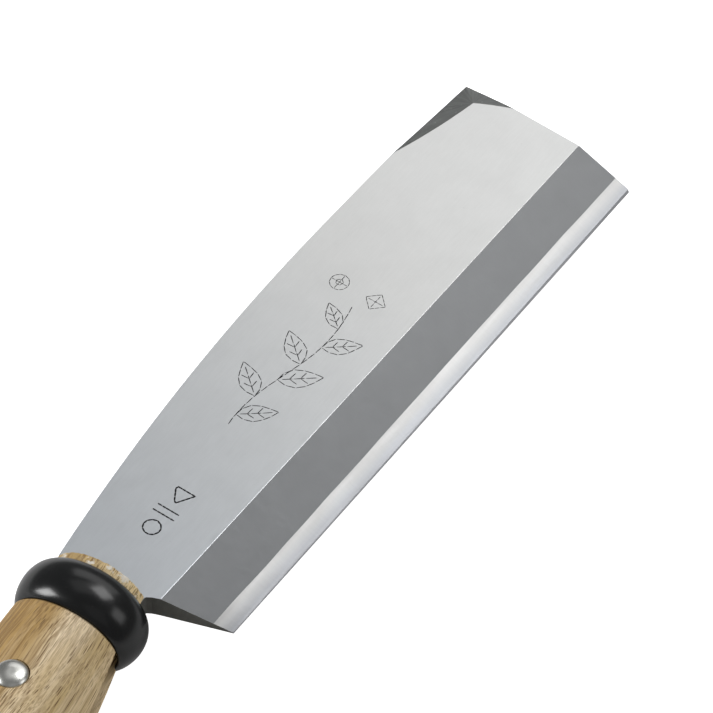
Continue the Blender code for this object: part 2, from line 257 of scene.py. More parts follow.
def half_space(name, corner, second, third):
    """A cutter above a plane through three points, anticlockwise seen from the cut side."""
    size = 400.0
    corner, second, third = Vector(corner), Vector(second), Vector(third)
    along = (second - corner).normalized()
    normal = along.cross(third - corner).normalized()
    across = normal.cross(along)
    turn = Matrix((along, across, normal)).transposed().to_4x4()
    work = bmesh.new()
    bmesh.ops.create_cube(work, size=mm(size))
    middle = mm(corner + normal * (size / 2.0))
    bmesh.ops.transform(work, matrix=Matrix.Translation(middle) @ turn, verts=work.verts)
    return object_from_bmesh(name, work)


def loft(name, rings, closed_row=False):
    """A solid through rings of points; closed_row joins the last ring to the first."""
    work = bmesh.new()
    rows = [[work.verts.new(point) for point in ring] for ring in rings]
    count = len(rows[0])
    pairs = list(zip(rows, rows[1:]))
    if closed_row:
        pairs.append((rows[-1], rows[0]))
    else:
        work.faces.new(rows[0])
        work.faces.new(list(reversed(rows[-1])))
    for low, high in pairs:
        for i in range(count):
            j = (i + 1) % count
            work.faces.new((low[i], low[j], high[j], high[i]))
    return object_from_bmesh(name, work)


def slab(name, outline, z_low, z_high):
    """A flat plate from a closed outline of (x, y) in the blade frame."""
    return loft(name, [[(mm(x), mm(y), mm(z)) for x, y in outline] for z in (z_low, z_high)])


def lathe(name, profile):
    """A turned solid from (radius, z) points, from the axis round to the axis."""
    segments = 64
    work = bmesh.new()
    first = work.verts.new((0.0, 0.0, mm(profile[0][1])))
    last = work.verts.new((0.0, 0.0, mm(profile[-1][1])))
    rows = []
    for radius, z in profile[1:-1]:
        row = []
        for i in range(segments):
            angle = 2.0 * pi * i / segments
            row.append(work.verts.new((mm(radius * cos(angle)), mm(radius * sin(angle)), mm(z))))
        rows.append(row)
    for i in range(segments):
        j = (i + 1) % segments
        work.faces.new((first, rows[0][i], rows[0][j]))
        work.faces.new((last, rows[-1][j], rows[-1][i]))
        for low, high in zip(rows, rows[1:]):
            work.faces.new((low[i], high[i], high[j], low[j]))
    return object_from_bmesh(name, work)


def smooth(item, degrees):
    """Smooth shading with sharp edges where the surface turns more than this."""
    item.data.shade_smooth()
    item.data.set_sharp_from_angle(angle=radians(degrees))


def in_frame(item, matrix):
    """Move a finished mesh from its own frame into the row frame."""
    item.data.transform(matrix)
    return item


# ---- node helpers ----------------------------------------------------------------------
def node(tree, kind, inputs=None, **settings):
    """Add a shader node, with its settings and its inputs set or linked."""
    item = tree.nodes.new(kind)
    for key, value in settings.items():
        setattr(item, key, value)
    set_inputs(tree, item, inputs or {})
    return item


def new_material(name):
    """A node material with its shader, ready to fill."""
    material = bpy.data.materials.new(name)
    material.use_nodes = True
    tree = material.node_tree
    return material, tree, tree.nodes["Principled BSDF"]


def set_inputs(tree, item, values):
    """Set or link a node's own sockets."""
    for key, value in values.items():
        if isinstance(value, bpy.types.NodeSocket):
            tree.links.new(value, item.inputs[key])
        else:
            item.inputs[key].default_value = value


def frame_coords(tree, tilt=0.0):
    """Millimetre coordinates of the blade frame, or of the handle frame with its tilt."""
    coords = node(tree, "ShaderNodeTexCoord")
    mapping = node(
        tree,
        "ShaderNodeMapping",
        {
            "Vector": coords.outputs["Object"],
            "Location": tuple(HEEL_CORNER),
            "Rotation": (0.0, 0.0, radians(tilt)),
            "Scale": (mm(1.0), mm(1.0), mm(1.0)),
        },
        vector_type="TEXTURE",
    )
    return mapping.outputs["Vector"]


def axes(tree, vector):
    """The X, Y and Z of a vector, by name."""
    return node(tree, "ShaderNodeSeparateXYZ", {"Vector": vector}).outputs


def vector_math(tree, operation, a, b):
    """One step of arithmetic on vectors."""
    return node(tree, "ShaderNodeVectorMath", {0: a, 1: b}, operation=operation).outputs["Vector"]


def noise_value(tree, vector, scale, detail, roughness=0.5):
    """A noise between 0 and 1."""
    inputs = {"Vector": vector, "Scale": scale, "Detail": detail, "Roughness": roughness}
    return node(tree, "ShaderNodeTexNoise", inputs).outputs["Fac"]


def drawn_noise(tree, vector, stretch, detail=3.0, roughness=0.6):
    """A noise drawn out or pressed together along each axis."""
    return noise_value(tree, vector_math(tree, "MULTIPLY", vector, stretch), 1.0, detail, roughness)


def remap(tree, value, low, high, to_low=0.0, to_high=1.0):
    """A clamped linear change of range."""
    inputs = {"Value": value, "From Min": low, "From Max": high, "To Min": to_low, "To Max": to_high}
    return node(tree, "ShaderNodeMapRange", inputs).outputs["Result"]


def math_node(tree, operation, a, b=0.0):
    """One arithmetic step."""
    return node(tree, "ShaderNodeMath", {0: a, 1: b}, operation=operation).outputs["Value"]


def rgba(colour):
    """A colour with its alpha, or its socket as it is."""
    return colour if isinstance(colour, bpy.types.NodeSocket) else (*colour, 1.0)


def mix_colour(tree, factor, a, b):
    """Mix two colours by a factor."""
    inputs = {"Factor": factor, 6: rgba(a), 7: rgba(b)}
    return node(tree, "ShaderNodeMix", inputs, data_type="RGBA").outputs[2]


def bump(tree, height, strength, distance):
    """A bump normal from a height; distance in millimetres."""
    inputs = {"Height": height, "Strength": strength, "Distance": mm(distance)}
    return node(tree, "ShaderNodeBump", inputs).outputs["Normal"]


def scaled(tree, colour, tone):
    """A colour made lighter or darker by a tone."""
    inputs = {0: colour, "Scale": tone}
    return node(tree, "ShaderNodeVectorMath", inputs, operation="SCALE").outputs["Vector"]


# ---- materials -------------------------------------------------------------------------
def painted_light_along_blade(tree, place, heel, tip, length):
    """Painted light: a colour that drifts from the heel to its tip value over a length of the blade,
    for the light that grows towards the tip.
    """
    return mix_colour(tree, remap(tree, axes(tree, place)["X"], 0.0, length), heel, tip)


def ground_metal(name, colour, roughness, grain, mottle, lines, metallic=1.0, tip=None):
    """Ground metal: fine lines drawn out along a grain, soft clouds and a few specks; with tip, painted
    light that drifts the colour from the heel to the tip.
    """
    material, tree, shader = new_material(name)
    place = frame_coords(tree)
    # painted light: the base colour drifts to a lighter tip colour along the blade
    if tip:
        colour = painted_light_along_blade(tree, place, colour, *tip)
    cloud = noise_value(tree, place, 0.12, 4.0, 0.6)
    fine = drawn_noise(tree, place, grain, 4.0)
    specks = remap(tree, noise_value(tree, place, 1.7, 2.0, 0.5), 0.74, 0.8, 0.0, -0.1)
    tone = remap(tree, cloud, 0.3, 0.7, 1.0 - mottle, 1.0 + mottle)
    tone = math_node(tree, "ADD", tone, remap(tree, fine, 0.3, 0.7, -mottle, mottle))
    tone = math_node(tree, "ADD", tone, specks)
    set_inputs(tree, shader, {
        "Base Color": scaled(tree, colour, tone),
        "Metallic": metallic,
        "Roughness": remap(tree, fine, 0.3, 0.7, roughness - 0.03, roughness + 0.03),
        "Normal": bump(tree, fine, lines, 0.01),
    })
    return material


def satin_face_material():
    """The pale satin face, ground along the blade."""
    # the tip colour is painted light: the face turns lighter and less blue from the heel to the tip
    return ground_metal(
        "satin_face", (0.515, 0.54, 0.565), roughness=0.34, grain=(0.25, 2.5, 2.5),
        mottle=0.022, lines=0.04, tip=((0.578, 0.582, 0.577), 90.0),
    )


def bevel_iron_material():
    """The misty grey iron of the long bevel."""
    # the tip colour is painted light: the bevel iron turns lighter from the heel to the tip
    return ground_metal(
        "bevel_iron", (0.133, 0.137, 0.141), roughness=0.46, grain=(2.0, 0.5, 0.5),
        mottle=0.03, lines=0.03, tip=((0.183, 0.188, 0.192), 140.0),
    )


def back_material():
    """The flat back, ground across the blade."""
    return ground_metal(
        "flat_back", (0.5, 0.51, 0.52), roughness=0.33, grain=(2.6, 0.12, 0.12),
        mottle=0.05, lines=0.12,
    )


def steel_back_material():
    """The back of the hard steel, a little lighter and more finely ground than the iron."""
    return ground_metal(
        "steel_back", (0.55, 0.56, 0.57), roughness=0.33, grain=(2.6, 0.12, 0.12),
        mottle=0.03, lines=0.05,
    )


def spine_material():
    """Spine and tip edge: coarse grinding marks across the thickness."""
    return ground_metal(
        "spine_grind", (0.32, 0.32, 0.32), roughness=0.42, grain=(2.2, 2.2, 0.2),
        mottle=0.12, lines=0.3,
    )


def forge_scale_material():
    """Dark forge scale on the heel, its shoulder and most of the tang's sides."""
    return ground_metal(
        "forge_scale", (0.12, 0.12, 0.108), roughness=0.55, grain=(0.45, 0.45, 0.1),
        mottle=0.15, lines=0.2, metallic=0.3,
    )


def cut_material():
    """Inside of the chisel cuts, much darker than the face around them."""
    return ground_metal(
        "chisel_cut", (0.055, 0.055, 0.058), roughness=0.5, grain=(1.0, 1.0, 1.0),
        mottle=0.2, lines=0.1,
    )


def facet_material():
    """The two tip facets: coarse dark streaks that fan out from the vertex."""
    material, tree, shader = new_material("facet_grind")
    place = frame_coords(tree)
    apart = vector_math(tree, "SUBTRACT", place, (*FACET_VERTEX, THICKNESS))
    part = axes(tree, apart)
    angle = math_node(tree, "ARCTAN2", part["Y"], part["X"])
    reach = node(tree, "ShaderNodeVectorMath", {0: apart}, operation="LENGTH").outputs["Value"]
    fan = node(tree, "ShaderNodeCombineXYZ", {
        "X": math_node(tree, "MULTIPLY", angle, 9.0),
        "Y": math_node(tree, "MULTIPLY", reach, 0.12),
    }).outputs["Vector"]
    streaks = noise_value(tree, fan, 1.0, 5.0, 0.65)
    specks = remap(tree, noise_value(tree, place, 2.2, 2.0, 0.5), 0.7, 0.76)
    light = remap(tree, streaks, 0.35, 0.65)
    colour = mix_colour(tree, light, (0.24, 0.25, 0.245), (0.36, 0.37, 0.365))
    set_inputs(tree, shader, {
        "Base Color": mix_colour(tree, specks, colour, (0.75, 0.76, 0.76)),
        "Metallic": 1.0,
        "Roughness": remap(tree, streaks, 0.3, 0.7, 0.36, 0.46),
        "Normal": bump(tree, streaks, 0.25, 0.02),
    })
    return material


def hard_steel_material():
    """The bright honed band, with painted sheen that is whitest under the weld line and cooler towards
    the edge, and painted shade that darkens it towards the heel and most at the heel corner.
    """
    material, tree, shader = new_material("hard_steel_band")
    place = frame_coords(tree)
    part = axes(tree, place)
    cloud = drawn_noise(tree, place, (0.07, 0.9, 0.9))
    fine = drawn_noise(tree, place, (1.6, 0.25, 0.25))
    # painted sheen: the colour lightens from the edge up to the weld line, standing in for the
    # reflection across the polished band
    height = math_node(tree, "ADD", part["Y"], remap(tree, cloud, 0.2, 0.8, -0.7, 0.7))
    colour = mix_colour(tree, remap(tree, height, 1.0, 3.2), (0.40, 0.41, 0.43), (0.51, 0.51, 0.505))
    # painted shade: the band darkens towards the heel, and more at the heel corner
    painted_shade_toward_heel = remap(tree, part["X"], -2.0, 90.0, 0.78, 1.04)
    painted_shade_heel_corner = remap(tree, part["X"], -5.0, 7.0, 0.68, 1.0)
    tone = math_node(tree, "MULTIPLY", painted_shade_toward_heel, remap(tree, fine, 0.3, 0.7, 0.98, 1.02))
    tone = math_node(tree, "MULTIPLY", tone, painted_shade_heel_corner)
    set_inputs(tree, shader, {
        "Base Color": scaled(tree, colour, tone),
        "Metallic": 1.0,
        "Roughness": remap(tree, cloud, 0.3, 0.7, 0.42, 0.5),
        "Normal": bump(tree, fine, 0.05, 0.01),
    })
    return material


def pore_mask(tree, place, scale, radius, blur):
    """Thin dashes along the grain: 1 inside a pore, 0 outside."""
    cells = node(tree, "ShaderNodeTexVoronoi", {
        "Vector": vector_math(tree, "MULTIPLY", place, scale),
        "Scale": 1.0,
    })
    return remap(tree, cells.outputs["Distance"], radius, radius + blur, 1.0, 0.0)


def torn_collar(tree, place, colour):
    """The oak's colour with torn fibres and pale flakes in front of the ring, and the tears."""
    part = axes(tree, place)
    zone = remap(tree, part["X"], -COLLAR_END, -COLLAR_END + 0.4)
    tears = drawn_noise(tree, place, (0.3, 2.4, 2.4), 4.0, 0.7)
    flakes = noise_value(tree, place, 0.33, 3.0, 0.7)
    dark = math_node(tree, "MULTIPLY", zone, remap(tree, tears, 0.5, 0.6, 0.0, 0.85))
    pale = math_node(tree, "MULTIPLY", zone, remap(tree, flakes, 0.54, 0.62, 0.0, 0.8))
    spine_side = remap(tree, part["Y"], 21.0, 33.0)
    collar = mix_colour(tree, spine_side, OAK_COLLAR, OAK_COLLAR_SPINE)
    colour = mix_colour(tree, math_node(tree, "MULTIPLY", zone, 0.8), colour, collar)
    colour = mix_colour(tree, dark, colour, OAK_STREAK)
    return mix_colour(tree, pale, colour, OAK_TORN), dark


def bent_grain(tree, place):
    """The place shifted sideways by a slow noise, so that the grain wanders."""
    bend = drawn_noise(tree, place, (0.02, 0.03, 0.03), 2.0, 0.5)
    shift = node(tree, "ShaderNodeCombineXYZ", {
        "Y": remap(tree, bend, 0.0, 1.0, -4.0, 4.0),
        "Z": remap(tree, bend, 0.0, 1.0, 3.0, -3.0),
    })
    return vector_math(tree, "ADD", place, shift.outputs["Vector"])


def pale_heart(tree, part):
    """How much a place belongs to the pale band along the middle, strongest near the ring."""
    from_heart = math_node(tree, "ABSOLUTE", math_node(tree, "SUBTRACT", part["Y"], PALE_BAND_V))
    near_band = remap(tree, from_heart, 0.5, 5.0, 0.6, -0.1)
    near_ring = remap(tree, part["X"], -36.0, -24.0, 0.25, 1.0)
    return math_node(tree, "MULTIPLY", near_band, near_ring)


def oak_bands(tree, warped, spine_side, heart):
    """The oak's broad bands and brown streaks: browner and more streaky on the spine side."""
    bands = drawn_noise(tree, warped, (0.012, 0.35, 0.35))
    streaks = drawn_noise(tree, warped, (0.02, 1.9, 1.9))
    band_share = remap(tree, spine_side, 0.0, 1.0, 1.0, 0.45)
    pale_bands = math_node(tree, "MULTIPLY", remap(tree, bands, 0.32, 0.68, 0.6, 0.0), band_share)
    base = mix_colour(tree, spine_side, OAK_OLIVE, OAK_BROWN)
    colour = mix_colour(tree, math_node(tree, "ADD", pale_bands, heart), base, OAK_PALE)
    streak_share = remap(tree, spine_side, 0.0, 1.0, 0.3, 0.85)
    streak = math_node(tree, "MULTIPLY", remap(tree, streaks, 0.48, 0.58), streak_share)
    return mix_colour(tree, streak, colour, OAK_STREAK)


def oak_pores(tree, warped, heart):
    """Long and short open pores, fainter in the pale band."""
    long_pores = pore_mask(tree, warped, (0.026, 2.2, 2.2), 0.17, 0.08)
    short_pores = pore_mask(tree, warped, (0.17, 2.9, 2.9), 0.17, 0.1)
    pores = math_node(tree, "MAXIMUM", long_pores, math_node(tree, "MULTIPLY", short_pores, 0.6))
    return math_node(tree, "MULTIPLY", pores, remap(tree, heart, 0.0, 0.6, 0.95, 0.45))


def oak_material():
    """Pale oak: broad bands, brown streaks, open pores along the handle and a torn collar."""
    material, tree, shader = new_material("oak_wood")
    place = frame_coords(tree, HANDLE_TILT)
    warped = bent_grain(tree, place)
    part = axes(tree, place)
    heart = pale_heart(tree, part)
    fibres = drawn_noise(tree, warped, (0.07, 4.2, 4.2), 3.0, 0.65)
    pores = oak_pores(tree, warped, heart)
    colour = oak_bands(tree, warped, remap(tree, part["Y"], 23.0, 30.0), heart)
    colour = mix_colour(tree, remap(tree, fibres, 0.46, 0.64, 0.0, 0.5), colour, OAK_STREAK)
    colour = mix_colour(tree, pores, colour, OAK_PORE)
    colour, torn = torn_collar(tree, place, colour)
    height = math_node(tree, "SUBTRACT", math_node(tree, "MULTIPLY", fibres, 0.3), pores)
    height = math_node(tree, "SUBTRACT", height, torn)
    set_inputs(tree, shader, {
        "Base Color": colour,
        "Roughness": remap(tree, fibres, 0.3, 0.7, 0.52, 0.64),
        "Specular IOR Level": 0.3,
        "Normal": bump(tree, height, 0.5, 0.1),
    })
    return material


def black_material():
    """Smooth black lacquer with faint dust and rubbing."""
    material, tree, shader = new_material("black_lacquer")
    place = frame_coords(tree, HANDLE_TILT)
    cloud = noise_value(tree, place, 0.25, 4.0, 0.6)
    specks = noise_value(tree, place, 3.5, 2.0, 0.5)
    dust = remap(tree, specks, 0.74, 0.8, 0.0, 0.12)
    colour = mix_colour(tree, dust, (0.005, 0.0055, 0.0058), (0.35, 0.34, 0.32))
    set_inputs(tree, shader, {
        "Base Color": colour,
        "Roughness": remap(tree, cloud, 0.3, 0.7, 0.2, 0.26),
        "Specular IOR Level": 0.42,
        "Normal": bump(tree, cloud, 0.1, 0.05),
    })
    return material


def rivet_material():
    """Polished rivet heads, faintly clouded."""
    material, tree, shader = new_material("polished_rivet")
    place = frame_coords(tree, HANDLE_TILT)
    cloud = noise_value(tree, place, 1.2, 4.0, 0.6)
    dull = remap(tree, cloud, 0.35, 0.7)
    set_inputs(tree, shader, {
        "Base Color": mix_colour(tree, dull, (0.63, 0.63, 0.60), (0.56, 0.56, 0.53)),
        "Metallic": 1.0,
        "Roughness": remap(tree, cloud, 0.3, 0.7, 0.27, 0.31),
    })
    return material


# ---- blade -----------------------------------------------------------------------------
def to_blade(s, v):
    """Handle frame place (s, v) in the blade frame's XY plane."""
    tilt = radians(HANDLE_TILT)
    return (-s * cos(tilt) - v * sin(tilt), -s * sin(tilt) + v * cos(tilt))


def spine_y(x):
    """Height of the spine over the edge line."""
    radius = SPINE_RADIUS if x < SPINE_CREST_X else SPINE_TIP_RADIUS
    return SPINE_HEIGHT - (x - SPINE_CREST_X) ** 2 / (2.0 * radius)


def bevel_z(y):
    """Height of the long bevel over the back."""
    return EDGE_LAND + (THICKNESS - EDGE_LAND) * y / BEVEL_WIDTH


def heel_fillet():
    """The rounded inner corner between the heel and the underside of the tang."""
    steps = 3
    corner = Vector(to_blade(*TANG_BELLY[0]))
    along_heel = (corner - Vector(HEEL_SHOULDER)).normalized()
    along_tang = (Vector(to_blade(*TANG_BELLY[1])) - corner).normalized()
    half = along_heel.angle(along_tang) / 2.0
    first = corner - along_heel * (HEEL_FILLET * tan(half))
    centre = first + Vector((-along_heel.y, along_heel.x)) * HEEL_FILLET
    start = (first - centre).angle_signed(Vector((1.0, 0.0)))
    points = []
    for i in range(steps + 1):
        turn = start + 2.0 * half * i / steps
        points.append(tuple(centre + Vector((cos(turn), sin(turn))) * HEEL_FILLET))
    return points


def blade_outline():
    """Blade, shoulder and tang seen from above, in one outline."""
    points = [(0.0, 0.0)]
    points += list(TIP_POINTS)
    shoulder_x = to_blade(TANG_SPINE[0][0], SHOULDER_V)[0]
    steps = 72
    for i in range(steps + 1):
        x = TIP_CORNER_X + (shoulder_x - TIP_CORNER_X) * i / steps
        points.append((x, spine_y(x)))
    end_s = TANG_SPINE[1][0]
    end_radius = (TANG_SPINE[1][1] - TANG_BELLY[2][1]) / 2.0
    end_v = (TANG_SPINE[1][1] + TANG_BELLY[2][1]) / 2.0
    points.append(to_blade(*TANG_SPINE[0]))
    for i in range(17):
        angle = pi / 2.0 - pi * i / 16
        points.append(to_blade(end_s + end_radius * cos(angle), end_v + end_radius * sin(angle)))
    points.append(to_blade(*TANG_BELLY[1]))
    points += list(reversed(heel_fillet()))
    points += [HEEL_SHOULDER, HEEL_KNEE]
    return points


def round_edges(work, edges, width):
    """Round edges by a width, or less where there is no room for it."""
    bmesh.ops.bevel(
        work, geom=edges, offset=mm(width), segments=2, profile=0.5, affect="EDGES", clamp_overlap=True
    )


def ridge_edges(work):
    """The long ridge between the flat and the bevel."""
    top = mm(THICKNESS - 0.01)
    return [edge for edge in work.edges
            if all(v.co.z > top and abs(v.co.y - mm(BEVEL_WIDTH)) < mm(0.02) for v in edge.verts)]


def in_ornament(place):
    """Whether a place in millimetres lies within the bounds of the ornament."""
    return ORNAMENT_X[0] < place.x < ORNAMENT_X[1] and ORNAMENT_Y[0] < place.y < ORNAMENT_Y[1]


def soften_edges(item):
    """Round the sharp edges of the upper side, away from the weld line and the ornament."""
    work = bmesh.new()
    work.from_mesh(item.data)
    by_facets = [v for v in work.verts if v.co.x > mm(FACET_SPINE_END[0] - 1.0) and v.co.z > mm(2.5)]
    bmesh.ops.remove_doubles(work, verts=by_facets, dist=mm(0.05))
    bmesh.ops.dissolve_limit(work, angle_limit=radians(0.05), verts=work.verts, edges=work.edges)
    round_edges(work, ridge_edges(work), RIDGE_ROUND)
    chosen = []
    for edge in work.edges:
        middle = to_mm(edge.verts[0].co + edge.verts[1].co) / 2.0
        upper = min(v.co.z for v in edge.verts) > mm(SOFT_LOWEST_Z)
        if upper and not in_ornament(middle) and edge.calc_face_angle() > radians(EDGE_LEAST_TURN):
            chosen.append(edge)
    round_edges(work, chosen, EDGE_ROUND)
    work.to_mesh(item.data)
    work.free()


def facet_cutter(name, start, end, corner, bow):
    """A cutter for a tip facet whose upper border bows a little between start and end."""
    start, end, corner = Vector(start), Vector(end), Vector(corner)
    border = end - start
    fall = corner - start
    fall = (fall - fall.project(border)).normalized()
    inward = Vector((-fall.x, -fall.y, 0.0)).normalized()
    up = Vector((0.0, 0.0, 30.0))
    reach = 25.0
    rings = []
    for i in range(-3, 10):
        t = i / 6
        rise = max(4.0 * t * (1.0 - t), 0.0) * bow
        top = start + border * t + inward * rise - fall
        low = start + border * t + inward * rise + fall * reach
        rings.append([mm(point) for point in (top, low, low + up, top + up)])
    return loft(name, rings)


def ground_blade():
    """The whole blade before it is split in iron and steel: bevel, facets and micro edge."""
    blade = slab("blade", blade_outline(), 0.0, THICKNESS)
    boolean(blade, half_space(
        "bevel", (0.0, 0.0, EDGE_LAND), (100.0, 0.0, EDGE_LAND), (0.0, BEVEL_WIDTH, THICKNESS)))
    corner = (TIP_CORNER_X, spine_y(TIP_CORNER_X), FACET_CORNER_Z)
    vertex = (*FACET_VERTEX, THICKNESS)
    boolean(blade, facet_cutter("spine_facet", (*FACET_SPINE_END, THICKNESS), vertex, corner, 0.4))
    boolean(blade, facet_cutter("tip_facet", vertex, (*FACET_TIP_END, THICKNESS), corner, -0.15))
    boolean(blade, half_space(
        "micro_edge",
        (0.0, 0.0, MICRO_HEEL_Z),
        (EDGE_LENGTH, 0.0, MICRO_TIP_Z),
        (0.0, MICRO_BEVEL, bevel_z(MICRO_BEVEL)),
    ))
    return blade


# ---- chisel-cut ornament ---------------------------------------------------------------
def add_groove(work, start, end, width, depth):
    """Add one chisel cut to a cutter mesh: a V-groove, pointed at both ends."""
    start, end = Vector(start), Vector(end)
    along = end - start
    side = Vector((-along.y, along.x)).normalized()
    rows = []
    for share, size in ((0.0, 0.0), (0.16, 0.75), (0.6, 1.0), (0.9, 0.85), (1.0, 0.0)):
        middle = start + along * share
        half = side * (width * size)
        top = THICKNESS + depth * size
        left = middle + half
        right = middle - half
        if size == 0.0:
            rows.append([work.verts.new((mm(middle.x), mm(middle.y), mm(THICKNESS + 0.01)))])
        else:
            rows.append([
                work.verts.new((mm(left.x), mm(left.y), mm(top))),
                work.verts.new((mm(right.x), mm(right.y), mm(top))),
                work.verts.new((mm(middle.x), mm(middle.y), mm(THICKNESS - depth * size))),
            ])
    for low, high in zip(rows, rows[1:]):
        for i in range(3):
            j = (i + 1) % 3
            if len(low) == 1:
                work.faces.new((low[0], high[i], high[j]))
            elif len(high) == 1:
                work.faces.new((low[i], high[0], low[j]))
            else:
                work.faces.new((low[i], high[i], high[j], low[j]))


def dashes(points, length, gap, jitter):
    """Break a line through points into chisel cuts of about one length."""
    line = [Vector(point) for point in points]
    total = sum((b - a).length for a, b in zip(line, line[1:]))
    count = max(1, round(total / length))
    stops = []
    walked = 0.0
    for a, b in zip(line, line[1:]):
        stops.append((walked, a, b))
        walked += (b - a).length

    def place_at(distance):
        base, a, b = [stop for stop in stops if stop[0] <= max(distance, 0.0)][-1]
        return a + (b - a).normalized() * (distance - base)

    cuts = []
    for i in range(count):
        first = place_at(total * i / count + gap * RANDOM.uniform(0.2, 1.0))
        last = place_at(total * (i + 1) / count - gap * RANDOM.uniform(-0.2, 0.6))
        nudge = Vector((RANDOM.uniform(-jitter, jitter), RANDOM.uniform(-jitter, jitter)))
        cuts.append((first + nudge, last - nudge))
    return cuts


def leaf_lines(base, turn, length, width):
    """The two sides, the midrib and the side veins of a pointed leaf."""
    base = Vector(base)
    along = Vector((cos(radians(turn)), sin(radians(turn))))
    side = Vector((-along.y, along.x))
    steps = 8
    upper = []
    lower = []
    for i in range(steps + 1):
        t = i / steps
        rise = width / 2.0 * sin(pi * t ** 0.8)
        upper.append(base + along * (length * t) + side * rise)
        lower.append(base + along * (length * t) - side * rise)
    lines = [upper, lower, [base + along * (length * 0.08), base + along * (length * 0.86)]]
    for share in (0.26, 0.5):
        foot = base + along * (length * share)
        for way in (1.0, -1.0):
            lines.append([foot, foot + along * (length * 0.15) + side * (way * width * 0.3)])
    return lines


def ring_line(centre, radius, steps=10):
    """A closed circle as a line."""
    return [
        (centre[0] + radius * cos(2.0 * pi * i / steps), centre[1] + radius * sin(2.0 * pi * i / steps))
        for i in range(steps + 1)
    ]


def stem_place(share):
    """A place on the swaying stem of the sprig, from its foot at 0 to its end at 1."""
    x = SPRIG_START + SPRIG_LENGTH * share
    return (x, SPRIG_Y + SPRIG_SWAY * sin(1.0 + 5.0 * share))


def sprig_lines():
    """All lines of the leaf sprig: the stem, and leaves on alternate sides."""
    lines = [[stem_place(i / 20) for i in range(21)]]
    count = len(SPRIG_LEAVES)
    for i, (length, width) in enumerate(SPRIG_LEAVES):
        turn = 50.0 if i % 2 else -50.0
        lines += leaf_lines(stem_place((i + 0.5) / (count + 0.6)), turn, length, width)
    return lines


def stamp_lines():
    """Two small stamps side by side across the blade: a quartered ring and a diamond."""
    x = STAMP_X
    ring = ring_line((x, 33.9), 2.3)
    hub = ring_line((x, 33.9), 1.0, 6)
    bars = [[(x - 2.1, 33.9), (x + 2.1, 33.9)], [(x, 31.8), (x, 36.0)]]
    diamond = [(x, 22.0), (x + 2.5, 24.5), (x, 27.0), (x - 2.5, 24.5), (x, 22.0)]
    cross = [[(x, 22.6), (x, 26.4)], [(x - 1.9, 24.5), (x + 1.9, 24.5)]]
    return [ring, hub, *bars, diamond, *cross]


def heel_stamp_lines():
    """Plain shapes in a row by the handle: a triangle, two bars and a ring."""
    triangle = [(19.8, 24.2), (19.8, 29.0), (15.8, 26.6), (19.8, 24.2)]
    bars = [[(13.9, 24.0), (13.9, 29.2)], [(12.2, 24.0), (12.2, 29.2)]]
    return [triangle, *bars, ring_line((8.3, 26.6), 2.0, 12)]


def engrave(blade):
    """Cut the sprig and the stamps into the flat face, in place of any marks."""
    work = bmesh.new()
    ornament = (
        (sprig_lines(), SPRIG_CUT),
        (stamp_lines(), STAMP_CUT),
        (heel_stamp_lines(), HEEL_CUT),
    )
    for lines, (length, gap, jitter, half_width, depth) in ornament:
        for line in lines:
            for first, last in dashes(line, length, gap, jitter):
                add_groove(work, first, last, half_width, depth)
    boolean(blade, object_from_bmesh("cuts", work), self_overlap=True)


# ---- blade pieces ----------------------------------------------------------------------
def steel_zone():
    """The space of the hard steel: a plate whose weld line wanders a little."""
    rings = []
    steps = 150
    for i in range(steps + 1):
        x = STEEL_HEEL_END + (160.0 - STEEL_HEEL_END) * i / steps
        wander = 0.12 * sin(2.0 * pi * (x - 60.0) / 190.0) + 0.12 * noise.noise((x * 0.09, 0.0, 0.0))
        top = bevel_z(STEEL_BAND + wander)
        ring = [
            (-5.0, -5.0),
            (STEEL_WIDTH + 5.0, -5.0),
            (STEEL_WIDTH, 0.0),
            (STEEL_FLAT_WIDTH, top),
            (-5.0, top),
        ]
        rings.append([(mm(x), mm(y), mm(z)) for y, z in ring])
    return loft("steel_zone", rings)


def blade_zone(face):
    """Which finish a face of the blade has, from where it is and how far up it looks."""
    centre = to_mm(face.center)
    up = face.normal.z
    on_ridge = abs(centre.y - BEVEL_WIDTH) < RIDGE_ROUND
    at_heel = centre.x < SCALE_X and centre.y < SCALE_Y and centre.z < THICKNESS - 0.02
    near_tip = centre.x > FACET_SPINE_END[0] - 1.0 and centre.y > FACET_TIP_END[1] - 1.0
    if up < -0.9:
        return "back"
    if on_ridge and up > 0.9:
        return "face"
    if at_heel and abs(up) < 0.5:
        return "heel"
    if near_tip and 0.8 < up < 0.985:
        return "facet"
    if up > 0.98 and centre.z > THICKNESS - 0.01:
        return "face"
    if centre.y < BEVEL_WIDTH and up > 0.9:
        return "bevel"
    if in_ornament(centre) and up > 0.0:
        return "cut"
    if up > 0.5:
        return "face"
    return "side"


def dress_blade(item, finishes):
    """Give each face of a blade piece the material of its zone."""
    names = list(finishes)
    for name in names:
        item.data.materials.append(finishes[name])
    for face in item.data.polygons:
        zone = blade_zone(face)
        face.material_index = names.index(zone) if zone in names else 0


def build_blade():
    """Both blade pieces in place of their CAD nodes."""
    blade = ground_blade()
    engrave(blade)
    steel = boolean(copy_object(blade, "blade_edge_steel"), steel_zone(), "INTERSECT")
    boolean(blade, steel_zone())
    soften_edges(blade)
    blade.name = "blade_iron"
    dress_blade(blade, {
        "face": satin_face_material(),
        "bevel": bevel_iron_material(),
        "facet": facet_material(),
        "heel": forge_scale_material(),
        "cut": cut_material(),
        "back": back_material(),
        "side": spine_material(),
    })
    dress_blade(steel, {
        "bevel": hard_steel_material(),
        "heel": forge_scale_material(),
        "back": steel_back_material(),
        "side": spine_material(),
    })
    pieces = ((blade, "blade_body", "soft_iron"), (steel, "edge_steel", "hard_steel"))
    for item, replaced, slot in pieces:
        in_frame(item, BLADE_FRAME)
        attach(item, "root")
        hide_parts(replaced)


